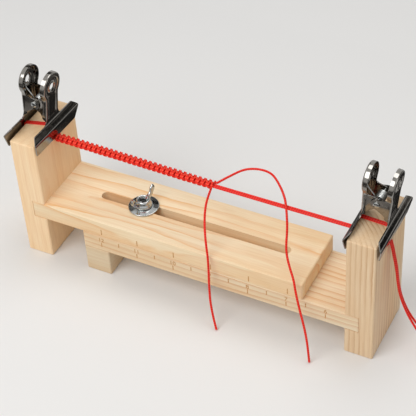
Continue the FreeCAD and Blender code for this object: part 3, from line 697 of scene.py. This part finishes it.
def pressed(y, z):
    """How far the press stands the face out or in: dished handle, trough, eyelet."""
    from_hole = math.hypot(y, z - HANDLE_Z)
    dish = 1 - ease(*DISH, from_hole)
    trough = ((1 - ease(*TROUGH_SIDE, abs(y))) * ease(*TROUGH_FOOT, z)
              * (1 - ease(*TROUGH_TOP, z)))
    bead = math.exp(-((from_hole - BEAD) / BEAD_WIDTH) ** 2)
    return BEAD_HEIGHT * bead - SUNK * max(dish, trough)


def half_outline():
    """The jaw's right edge from lip to top, inside its folded edge, as (y, z)."""
    shoulder, joint = NECK_FILLETS
    reach = HANDLE + joint
    beside = NECK + joint
    rise = math.sqrt(reach ** 2 - beside ** 2)
    meet = math.degrees(math.atan2(rise, beside))
    edge = [(0.0, LIP_Z)]
    for corner in BAR_CORNERS:
        edge += arc(*corner)
    edge += arc((NECK + shoulder, BEND_Z + shoulder), shoulder, -90, -180, 8)
    edge += arc((NECK + joint, HANDLE_Z - rise), joint, 180, 180 - meet, 8)
    edge += arc((0.0, HANDLE_Z), HANDLE, -meet, 90, 34)
    return edge


def spaced(points):
    """The points, with more of them set in where two are far apart."""
    result = []
    for start, end in zip(points, points[1:]):
        parts = max(1, round(math.dist(start, end) / STEP))
        for part in range(parts):
            share = part / parts
            result.append(tuple(a + (b - a) * share for a, b in zip(start, end)))
    return result + [points[-1]]


def ring_on_handle(radius):
    """A ring of 48 points round the handle's hole."""
    return arc((0.0, HANDLE_Z), radius, 0, 352.5, 47)


def inner_points(edge):
    """Points over the jaw's face: rows along the bar and neck, rings on the handle."""
    points = []
    level = LIP_Z + 0.5
    while level < HANDLE_Z - 5:
        crossing = [y for (y, z), (_, following) in zip(edge, edge[1:])
                    if z <= level < following]
        half = min(crossing) - MARGIN if crossing else 0.0
        count = max(2, round(2 * half))
        for number in range(count + 1):
            y = half * (2 * number / count - 1)
            if math.hypot(y, level - HANDLE_Z) > HANDLE - MARGIN:
                points.append((y, level))
        at_bend = min(abs(level - BEND_Z), abs(level - CREST_Z)) < 1.3
        level += FINE_STEP if at_bend else STEP
    for radius in RINGS:
        points += ring_on_handle(radius)
    return points


def fold_depth(z):
    """How far the folded edge runs in towards the spring; an ear reaches the pin."""
    if abs(z) < EAR:
        reached = -math.sqrt(EAR ** 2 - z ** 2)
    elif z < 0:
        reached = (-EAR - z) / EAR_RISES[0] * EAR_BASE
    else:
        reached = (z - EAR) / EAR_RISES[1] * EAR_BASE
    return max(FLANGE, WEB - reached)


def stamped_jaw(name, ear_set_in):
    """One stamped half of a clip: grip bar, web, dished handle, folded edges and ears.

    The face is a blank cut out in the plane and pressed to shape; its edge is
    then folded inwards. ear_set_in moves the ears towards each other.
    """
    right = spaced(half_outline())
    left = [(-y, z) for y, z in reversed(right[1:-1])]
    loop = right + left
    hole = ring_on_handle(HOLE)
    flat = loop + hole + inner_points(right)
    count = len(loop)
    edges = [(count + i, count + (i + 1) % len(hole)) for i in range(len(hole))]
    # 1 asks for the triangles inside the loop.
    placed, _, triangles, origins, _, _ = delaunay_2d_cdt(
        [Vector(point) for point in flat], edges, [list(range(count))], 1, 1e-5)
    now_at = {origin: index for index, group in enumerate(origins) for origin in group}
    vertices = [(face_at(z) + pressed(y, z), y, z) for y, z in placed]
    faces = [tuple(corners) for corners in triangles
             if math.dist(sum((placed[c] for c in corners), Vector((0, 0))) / 3,
                          (0.0, HANDLE_Z)) > HOLE]
    rims = []
    curve_steps, flat_steps = 4, 8
    for index, (y, z) in enumerate(loop):
        before, after = loop[index - 1], loop[(index + 1) % count]
        outwards = Vector((after[1] - before[1], before[0] - after[0])).normalized()
        folded = ease(*FOLD_FADES, z)
        rim = [now_at[index]]
        if folded > 0.02:
            x = vertices[rim[0]][0]
            depth = fold_depth(z) - FOLD
            for part in range(1, curve_steps + 1):
                angle = math.radians(90) * folded * part / curve_steps
                out = FOLD * math.sin(angle)
                rim.append(len(vertices))
                vertices.append((x - FOLD * (1 - math.cos(angle)),
                                 y + outwards[0] * out, z + outwards[1] * out))
            x, y, z = vertices[-1]
            for part in range(1, flat_steps + 1):
                run = depth * folded * part / flat_steps
                jog = ear_set_in * ease(FLANGE - FOLD, FLANGE + FOLD, run)
                rim.append(len(vertices))
                vertices.append((x - run, y - math.copysign(jog, y), z))
        else:
            rim += [rim[0]] * (curve_steps + flat_steps)
        rims.append(rim)
    for rim, following in zip(rims, rims[1:] + rims[:1]):
        for inner, outer, inner_next, outer_next in zip(rim, rim[1:], following, following[1:]):
            corners = tuple(dict.fromkeys((inner_next, inner, outer, outer_next)))
            if len(corners) > 2:
                faces.append(corners)
    jaw = mesh_object(name, vertices, faces)
    wall = jaw.modifiers.new("sheet", "SOLIDIFY")
    wall.thickness = SHEET * MM
    wall.offset = -1.0
    shade_smooth(settled_mesh(jaw), 42)
    return jaw


def on_clip(side, turned=False, splay=0.0):
    """Where a clip's piece goes: on its pin, leaning and askew with the clip."""
    pin, roll, _, _ = CLIPS[side]
    half_turn = math.pi if turned else 0.0
    return (Matrix.Translation(pin) @ Matrix.Rotation(roll, 4, "X")
            @ Matrix.Rotation(TILT, 4, "Y") @ Matrix.Rotation(half_turn, 4, "Z")
            @ Matrix.Rotation(splay, 4, "Y"))


WIRE = 0.8  # diameter of the spring's wire, mm
COIL = 2.7  # radius of the coil's middle line
COIL_HALF = 3.5  # half the coil's length
COIL_TURNS = 6.5  # fewer than the solid's eight, so that the turns show
# A leg's bends as (x, z), from the coil up to its web.
LEG = [(COIL, 0.8), (COIL, 2.0), (2.9, 3.4), (6.9, 7.6), (7.55, 8.6), (7.9, 11.2)]
PIN_RADIUS = 1.25
# The pin's riveted head as (radius, height from the pin's middle).
PIN_HEAD = [(1.9, 7.15), (1.9, 7.55), (1.5, 7.8), (0.8, 7.9), (0, 7.9)]


def spring_line():
    """A leg down from one web, close turns round the pin, and a leg up to the other."""
    leg = [(x, COIL_HALF, z) for x, z in LEG]
    steps = round(COIL_TURNS * 24)  # 24 to a turn
    coil = []
    for step in range(steps + 1):
        angle = math.pi + TURN * COIL_TURNS * step / steps
        along = COIL_HALF * (2 * step / steps - 1)
        coil.append((COIL * math.cos(angle), along, COIL * math.sin(angle)))
    points = [(-x, -y, z) for x, y, z in reversed(leg)] + coil + leg
    return route(points, "spring_line", kind="POLY")


def make_clips(sweep, plate, pin_steel, wire):
    """Both clips: jaws on their own bodies, pin and spring on the post's."""
    for side, (_, _, inner_turned, post) in CLIPS.items():
        for where, turned, set_in in (("inner", inner_turned, EARS_SET_IN),
                                      ("outer", not inner_turned, 0.0)):
            name = f"{side}_clip_{where}_jaw"
            jaw = stamped_jaw(name, set_in)
            jaw.data.transform(on_clip(side, turned, SPLAY))
            finish_piece(jaw, f"{side}_{where}_stamped_jaw", plate, f"{side}_{where}_jaw",
                         [name])
        shank = PIN_HEAD[0][1]
        pin = lathe("pin", [(radius, -height) for radius, height in reversed(PIN_HEAD)]
                    + [(PIN_RADIUS, -shank), (PIN_RADIUS, shank)] + PIN_HEAD, 24)
        pin.data.transform(on_clip(side) @ Matrix.Rotation(-math.pi / 2, 4, "X"))
        shade_smooth(pin.data, 40)
        finish_piece(pin, side + "_riveted_pin", pin_steel, post,
                     [side + "_clip_pin"])
        spring = swept(sweep, spring_line(), "spring", WIRE, WIRE, wire, sides=10, spacing=0.25)
        spring.data.transform(on_clip(side))
        finish_piece(spring, side + "_wound_spring", wire, post,
                     [side + "_clip_spring"])


# ---------------- bolt and wing nut
BOLT_X = -43.0
WASHER_Z = 44.7
NUT_Z = 46.3
BOLT_TOP = NUT_Z + 3.6  # as low as it stands in the nut's hub
UNDERSIDE = 19.5  # of the base board
# Profiles as (radius, height), mm: each from its own foot, the bolt's head from
# the board's underside.
WASHER = (arc((9.4, 0.35), 0.35, -90, 0, 4) + arc((9.4, 0.75), 0.35, 0, 90, 4)
          + [(3.6, 1.5), (3.3, 1.2), (3.3, 0.0)])
BOLT_HEAD = [(0, -2.4), (3.0, -2.35), (5.2, -1.8), (6.6, -0.8), (7.0, -0.2), (6.9, 0),
             (2.9, 0), (2.9, 4.2), (0, 4.2)]
HUB = arc((5.1, 0.5), 0.5, -90, 0, 3) + [
    (5.6, 1.1), (5.1, 1.9), (4.6, 3.2), (4.35, 4.3), (4.1, 4.7), (3.7, 4.85), (3.3, 4.7),
    (3.07, 4.3), (3.07, 0.3), (3.3, 0.0)]
NECK_HALF = 3.2  # of the bolt's square neck
# A wing's middle line (x, z), half width and half thickness, from hub to tip.
WING = [(2.6, 2.2, 2.0, 1.5), (4.9, 3.1, 1.9, 1.15), (6.8, 4.3, 1.7, 0.95),
        (8.0, 6.0, 1.65, 1.0), (8.7, 7.6, 1.9, 1.05), (9.0, 9.0, 1.85, 1.05),
        (9.2, 10.0, 1.3, 0.8), (9.3, 10.5, 0.5, 0.4)]
WING_SQUARENESS = 0.75  # 1 would make its section an ellipse
NUT_TURN = math.radians(77.0)


def threaded_rod(radius, low, high, pitch):
    """A rod with a vee thread cut into it, coned at its top."""
    steps = 36
    rows = round((high - low) / pitch * 6)
    vertices = []
    for row in range(rows + 1):
        z = low + (high - low) * row / rows
        for step in range(steps):
            turn = step / steps
            phase = (z / pitch - turn) % 1.0
            vee = 0.45 * abs(2 * phase - 1)
            cone = 0.8 * max(0.0, z - (high - 1.0))
            r = radius - max(vee, cone)
            vertices.append((r * math.cos(TURN * turn), r * math.sin(TURN * turn), z))
    return mesh_object("thread", vertices, tube_faces(rows + 1, steps))


def cast_wing():
    """One cast wing: a waisted web from the hub, spreading to a round ear.

    Rounded sections follow a line in the X-Z plane, and both ends are closed.
    """
    line = route([(x, 0, z) for x, z, _, _ in WING], "wing", order=4)
    middle = points_of(line)
    bpy.data.objects.remove(line)
    rings = 16
    vertices = []
    for index, point in enumerate(middle):
        share = index / (len(middle) - 1) * (len(WING) - 1)
        first = min(int(share), len(WING) - 2)
        part = share - first
        half, thick = (WING[first][k] * (1 - part) + WING[first + 1][k] * part for k in (2, 3))
        ahead = middle[min(index + 1, len(middle) - 1)] - middle[max(index - 1, 0)]
        across = Vector((ahead.z, 0, -ahead.x)).normalized()
        for ring in range(rings):
            angle = TURN * ring / rings
            wide, deep = (math.copysign(abs(way) ** WING_SQUARENESS, way)
                          for way in (math.cos(angle), math.sin(angle)))
            place = point / MM + across * wide * half
            vertices.append((place.x, deep * thick, place.z))
    return mesh_object("wing", vertices, tube_faces(len(middle), rings))


def make_clamp(finish):
    """Carriage bolt, washer and wing nut, all bright zinc."""
    washer = lathe("washer", WASHER, 64)
    washer.data.transform(Matrix.Translation(spot(BOLT_X, 0, WASHER_Z)))
    shade_smooth(washer.data, 40)
    finish_piece(washer, "plain_washer", finish, "base", ["flat_washer"])

    rod = threaded_rod(radius=3.0, low=UNDERSIDE + 4.0, high=BOLT_TOP, pitch=1.0)
    head = lathe("head", [(radius, UNDERSIDE + height) for radius, height in BOLT_HEAD], 48)
    corners = [(x * NECK_HALF, y * NECK_HALF, z) for z in (UNDERSIDE - 0.1, UNDERSIDE + 3.5)
               for x, y in ((-1, -1), (1, -1), (1, 1), (-1, 1))]
    bolt = join([rod, head, mesh_object("neck", corners, tube_faces(2, 4))])
    bolt.data.transform(Matrix.Translation(spot(BOLT_X, 0, 0)))
    shade_smooth(bolt.data, 40)
    finish_piece(bolt, "threaded_carriage_bolt", finish, "base",
                 ["carriage_bolt"])

    wings = [cast_wing(), cast_wing()]
    wings[1].data.transform(Matrix.Rotation(math.pi, 4, "Z"))
    nut = join([lathe("hub", HUB, 48)] + wings)
    nut.data.transform(Matrix.Translation(spot(BOLT_X, 0, NUT_Z))
                       @ Matrix.Rotation(NUT_TURN, 4, "Z"))
    shade_smooth(nut.data, 45)
    finish_piece(nut, "cast_wing_nut", finish, "wing_nut", ["wing_nut"])


# ---------------- scale marks
FRONT = -23.5  # the boards' front face, mm
INCH = 25.4
FIRST_INCH = -62.43
FIRST_NUMBER = 12
# Rows of ticks: the first one's place, how many, and how high they begin and end.
TICKS = {"inch": (FIRST_INCH, 7, 22.9, 26.4), "half": (-49.73, 6, 27.0, 30.2),
         "deck": (-61.4, 6, 33.6, 37.9)}
TICK_WIDTH = 0.65
PROUD = 0.03  # how far a mark stands out, so as not to be lost in the wood
NUMBER_FOOT = 27.3
NUMBER_SIZE = 4.4
NUMBER_BOLD = 0.06  # how much its strokes are widened


def tick(name, low, high):
    """One tick: a shallow bar with a slightly uneven foot and head."""
    half = TICK_WIDTH / 2
    outline = [(-half, low), (half, low + 0.1), (half, high), (0, high + 0.12), (-half, high)]
    corners = [(x, FRONT + side, z) for side in (PROUD, -PROUD) for x, z in outline]
    return mesh_object(name, corners, tube_faces(2, len(outline)))


def make_scale(tree, finish):
    """Inch marks with plain numbers on the base board, and single marks on the deck."""
    rows = []
    for name, (first, count, low, high) in TICKS.items():
        mark = tick(name, low, high)
        row = run_tree(tree, name, Piece=mark, Count=count, Pitch=INCH * MM,
                       Unevenness=0.0, Seed=0.0, Finish=finish)
        bpy.data.objects.remove(mark)
        row.data.transform(Matrix.Translation(spot(first, 0, 0)))
        rows.append(row)
    deck = rows.pop()
    finish_piece(deck, "deck_scale_marks", finish, "sliding_frame")
    for index in range(TICKS["inch"][1]):
        text = bpy.data.curves.new("number", "FONT")
        text.body = str(FIRST_NUMBER - index)
        text.size = NUMBER_SIZE * MM
        text.align_x = "CENTER"
        text.extrude = PROUD * MM
        text.offset = NUMBER_BOLD * MM
        label = new_object("number", text)
        mesh = evaluated_mesh(label)
        bpy.data.objects.remove(label)
        mesh.transform(Matrix.Translation(spot(FIRST_INCH + index * INCH, FRONT, NUMBER_FOOT))
                       @ Matrix.Rotation(math.pi / 2, 4, "X"))
        rows.append(new_object("number", mesh))
    finish_piece(join(rows), "base_scale_marks", finish, "base")


# ---------------- floor and light
PAPER = "#e9e8e6"
FAR = 3000.0
# Cards by their corners, mm: dark sheets seen only in the metal, for painted dark reflections.
# The low and the side card leave a gap between them that draws a reflected bright line along
# the jaws' crests.
CARDS = {
    "low_card": [(-300, 60, 2), (340, 60, 2), (340, 270, 2), (-300, 270, 2)],
    "front_card": [(-500, -900, 2), (700, -900, 2), (700, -110, 2), (-500, -110, 2)],
    "high_card": [(-660, 480, 380), (-150, 760, 380), (-110, 560, 640), (-620, 280, 640)],
    "side_card": [(420, 60, 52), (420, 900, 52), (420, 900, 420), (420, 60, 420)],
}
LAMPS = {  # place and width in metres, power in watts
    "key": ((-0.25, -0.75, 0.95), 0.9, 8.0),
    "side": ((0.85, -0.15, 0.6), 0.5, 0.7),
    "top": ((0.05, 0.35, 1.1), 0.7, 3.6),
}
SOFT_LIGHT = 0.36  # from all round


def sheet(name, corners, finish):
    """A flat four-cornered part of the studio."""
    made = mesh_object(name, corners, [(0, 1, 2, 3)])
    dress(made, finish)
    return made


def set_studio():
    """A paper floor, soft lamps, and dark cards that only the metal sees, for painted dark
    reflections.
    """
    sheet("floor", [(-FAR, -FAR, 0), (FAR, -FAR, 0), (FAR, FAR, 0), (-FAR, FAR, 0)],
          plain("paper_floor", PAPER, 0.9))
    # Painted dark reflections: dark sheets with lighter patches, seen only by the metal, so
    # that bright metal shows soft bands.
    reflected_dark_sheet = mottled("painted_reflection_card", width=50.0, detail=1.0, tones=[
        (0.4, "#060606"), (0.52, "#2c2a28"), (0.6, "#a09c98")], roughness=1.0, relief=0.0)
    for name, corners in CARDS.items():
        card = sheet(name, corners, reflected_dark_sheet)
        for rays in ("camera", "diffuse", "transmission", "shadow"):
            setattr(card, "visible_" + rays, False)
    world = SCENE.world = bpy.data.worlds.new("studio")
    world.use_nodes = True
    tree = world.node_tree
    ground = tree.nodes["Background"]
    settle(ground, Color=colour("#ffffff"), Strength=SOFT_LIGHT)
    seen = add(tree, "ShaderNodeBackground", {"Color": colour(PAPER), "Strength": 1.0})
    path = add(tree, "ShaderNodeLightPath", out=None)
    direct = path["Is Camera Ray"]
    for rays in ("Is Glossy Ray", "Is Transmission Ray"):
        direct = add(tree, MATH, {0: direct, 1: path[rays]}, operation="MAXIMUM")
    both = add(tree, "ShaderNodeMixShader", {0: direct, 1: ground.outputs[0], 2: seen})
    feed(tree.nodes["World Output"].inputs["Surface"], both)
    for name, (place, width, power) in LAMPS.items():
        data = bpy.data.lights.new(name, "AREA")
        data.shape = "DISK"
        data.size = width
        data.energy = power
        lamp = new_object(name, data)
        lamp.location = place
        lamp.rotation_euler = (Vector((0, 0, 0.05)) - lamp.location).to_track_quat(
            "-Z", "Y").to_euler()


# ---------------- everything
set_camera()
round_strand = strand_tree("round strand", flat=False)
flat_strand = strand_tree("flattened strand", flat=True)
row_of_copies = repeat_tree("row of copies", drift_width=7.0)
cord_red = nylon("red_nylon_cord", [(0.2, "#d41c15"), (0.6, "#ec2c20"), (0.9, "#fa4430")])
# Painted light: the knots' copy of the same nylon has brighter tones than the cords', for the
# light on the knotted row.
lit_knot_red = nylon("red_nylon_knots", [(0.2, "#d8180f"), (0.6, "#fc3a26"), (0.9, "#ff6a48")])
make_free_cords(round_strand, cord_red)
make_held_strands(flat_strand, cord_red)
knot_row(row_of_copies, flat_strand, lit_knot_red)

# Each coat's two tones, its roughness, and its ripple, grain and depth.
zinc = plated("bright_zinc_plate", ("#a8acae", "#cccecc"), 0.12, 4.0, 1.6, 0.3)
# Painted dark reflections: the nickel's two tones are much darker than bare nickel, standing
# for dark surroundings reflected in it.
dark_painted_nickel = plated("nickel_plate_painted_darker", ("#817e7a", "#a09d98"), 0.1, 6.0, 2.0, 0.15)
drawn_wire = plated("drawn_spring_wire", ("#c2c4c4", "#dcdedc"), 0.36, 0.8, 0.6, 0.05)
make_clips(round_strand, dark_painted_nickel, zinc, drawn_wire)
make_clamp(zinc)

# For each wooden node: grain, pith, late wood, ring, wander, depth and early wood.
WOOD = {
    "slotted_board": ("flat_sawn_pine_deck", ALONG_X, (-38, 4, 0), "#ecb572", 7.0, 5.0, 0.85,
                      "#f9e9ca"),
    "base_board": ("quarter_sawn_pine_base", ALONG_X, (30, 75, 0), "#d8a26a", 3.0, 0.8, 1.0,
                   "#f0e0c4"),
    "foot_block": ("pine_foot", ALONG_X, (55, 20, 0), "#d4ae80", 3.2, 1.4, 0.6, "#e2d0b2"),
    "left_post": ("pine_left_post", ALONG_Z, (60, 30, 0), "#e6b47c", 4.4, 1.6, 0.35, "#ffe4be"),
    "right_post": ("pine_right_post", ALONG_Z, (-20, 90, 0), "#c4966a", 2.7, 0.7, 1.0,
                   "#eedabc"),
}
for node, look in WOOD.items():
    dress(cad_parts[node], pine(*look))
# Light brown marks burnt into the pine.
scorched = mottled("scorched_marks", width=0.6, detail=3.0, tones=[
    (0.3, "#b4783e"), (0.7, "#d6a670")], roughness=0.8, relief=0.4)
make_scale(row_of_copies, scorched)
set_studio()
